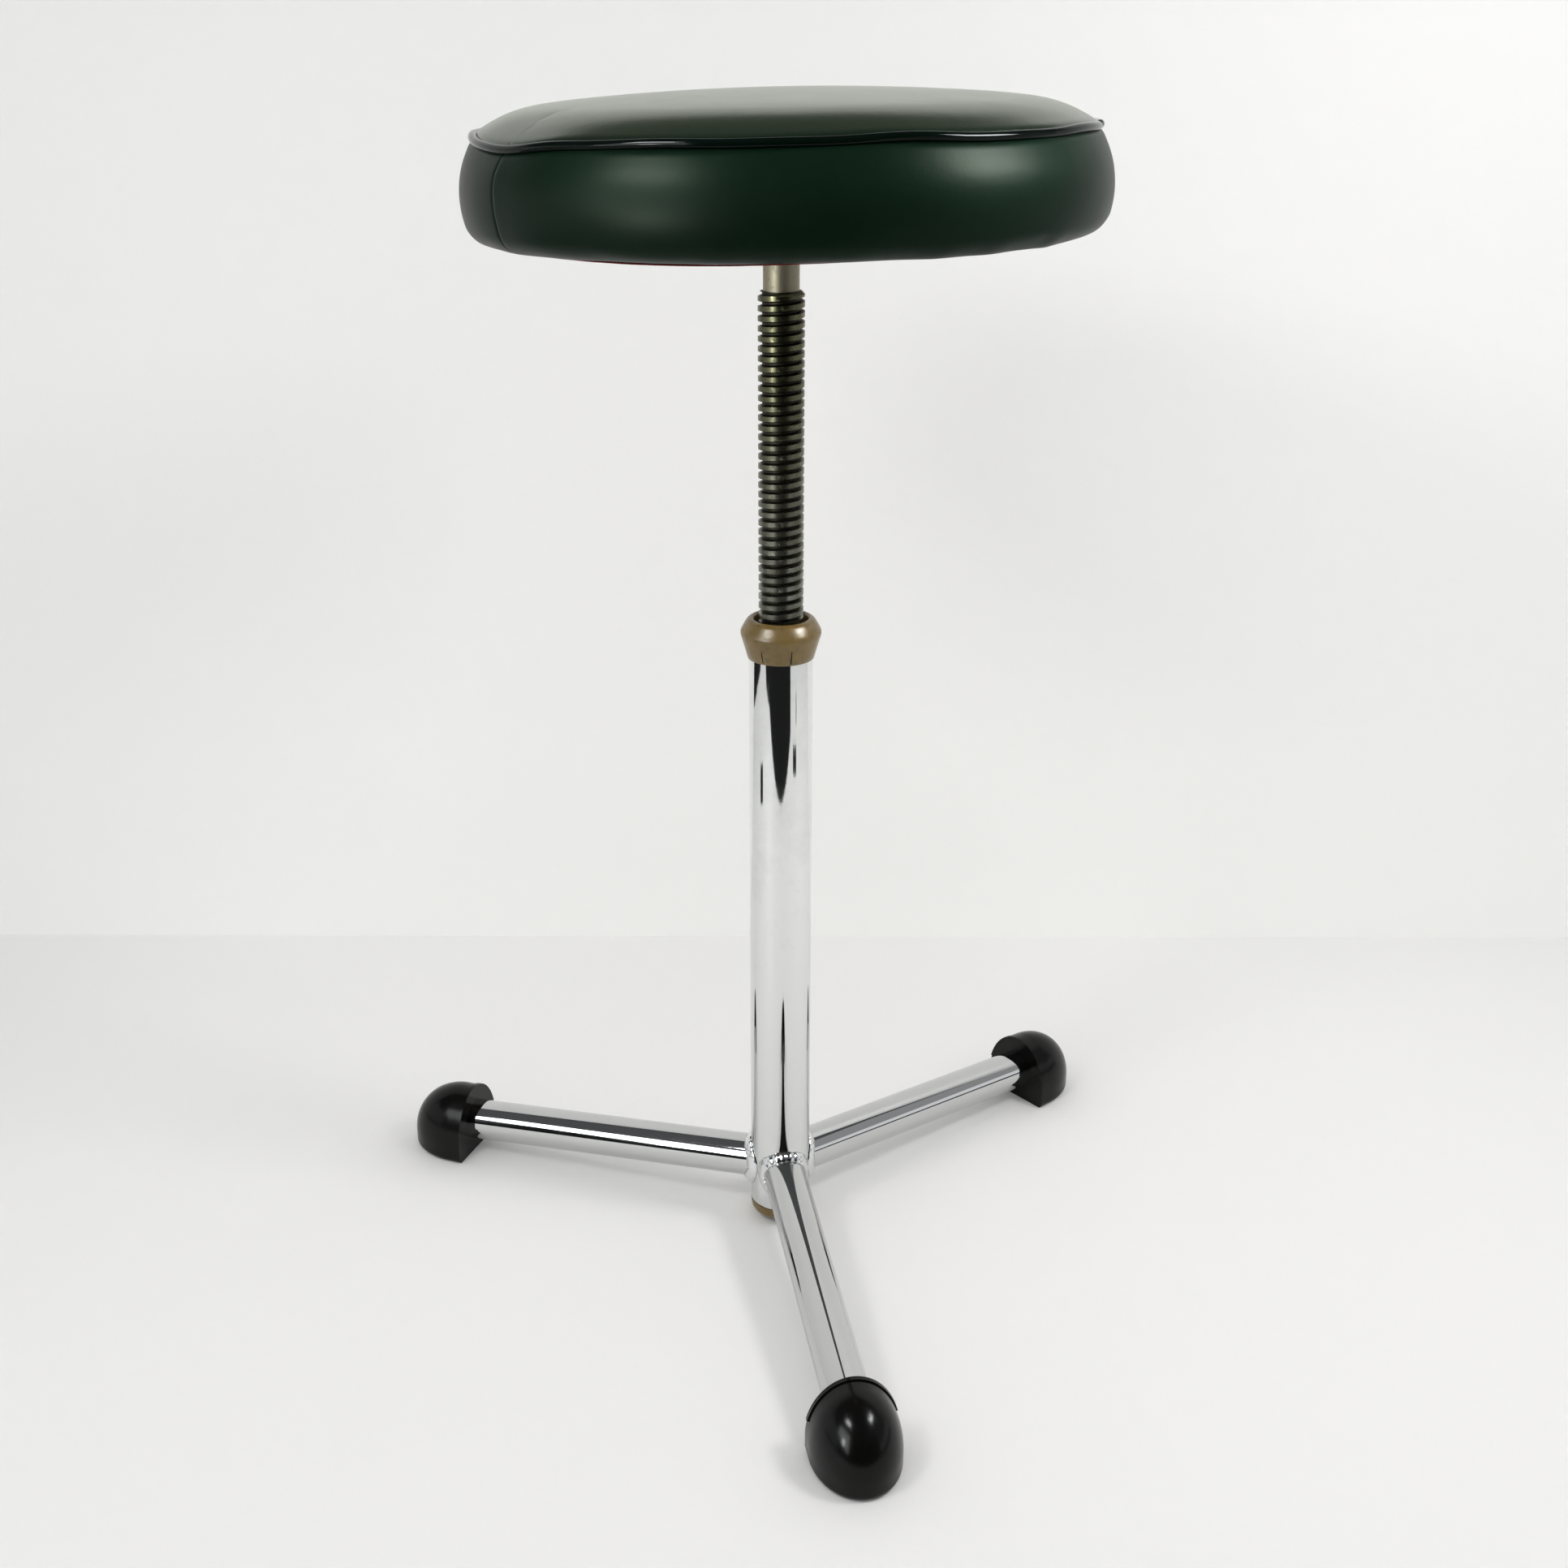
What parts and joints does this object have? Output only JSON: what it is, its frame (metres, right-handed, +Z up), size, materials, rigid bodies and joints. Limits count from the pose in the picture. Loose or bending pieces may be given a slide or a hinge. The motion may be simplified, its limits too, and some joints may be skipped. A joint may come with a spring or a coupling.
{
  "type": "screw stool",
  "caption": "Round padded stool seat with piped edge on a threaded steel spindle that screws through a tan collar into a chrome column with splayed tube legs and rubber feet.",
  "frame": {"origin": "on the floor, under the column's axis", "axes": "+Z up along the column; -Y along the front leg; +X towards the right-hand leg's side"},
  "size_m": [0.437, 0.4095, 0.6446],
  "materials": {
    "chrome_plate": "bright chrome plate",
    "black_rubber": "smooth moulded rubber",
    "zinc_steel": "bright zinc plate",
    "tan_nylon": "aged tan nylon",
    "oiled_steel": "turned steel, oiled",
    "plywood": "raw birch plywood",
    "red_lining": "woven lining",
    "seat_foam": "open-cell foam",
    "green_vinyl": "smooth dark green vinyl"
  },
  "bodies": {
    "base": {"column_tube": "chrome_plate", "leg_front": "chrome_plate", "leg_right": "chrome_plate", "leg_left": "chrome_plate", "weld_front": "chrome_plate", "weld_right": "chrome_plate", "weld_left": "chrome_plate", "foot_front": "black_rubber", "foot_right": "black_rubber", "foot_left": "black_rubber", "foot_washer_front": "zinc_steel", "foot_washer_right": "zinc_steel", "foot_washer_left": "zinc_steel", "column_collar": "tan_nylon", "screw_nut": "oiled_steel", "bottom_plug": "tan_nylon"},
    "guide": {"guide_bush": "tan_nylon"},
    "seat": {"spindle": "oiled_steel", "stop_washer": "zinc_steel", "stop_bolt": "zinc_steel", "seat_plate": "zinc_steel", "spindle_weld": "zinc_steel", "plate_screws": "zinc_steel", "staples": "zinc_steel", "seat_board": "plywood", "under_lining": "red_lining", "foam_pad": "seat_foam", "seat_side_band": "green_vinyl", "seat_top_panel": "green_vinyl", "seat_piping": "green_vinyl"}
  },
  "joints": [
    {"name": "lift", "type": "slide", "parent": "base", "child": "guide", "axis": [0, 0, 1], "range_m": [-0.1652, 0.0252]},
    {"name": "turn", "type": "hinge", "parent": "guide", "child": "seat", "pos_m": [0, 0, 0.3], "axis": [0, 0, 1], "range_deg": [-11880, 1800]}
  ],
  "couplings": [
    {"joint": "lift", "follows": "turn", "m_per_rad": 0.00079577}
  ]
}
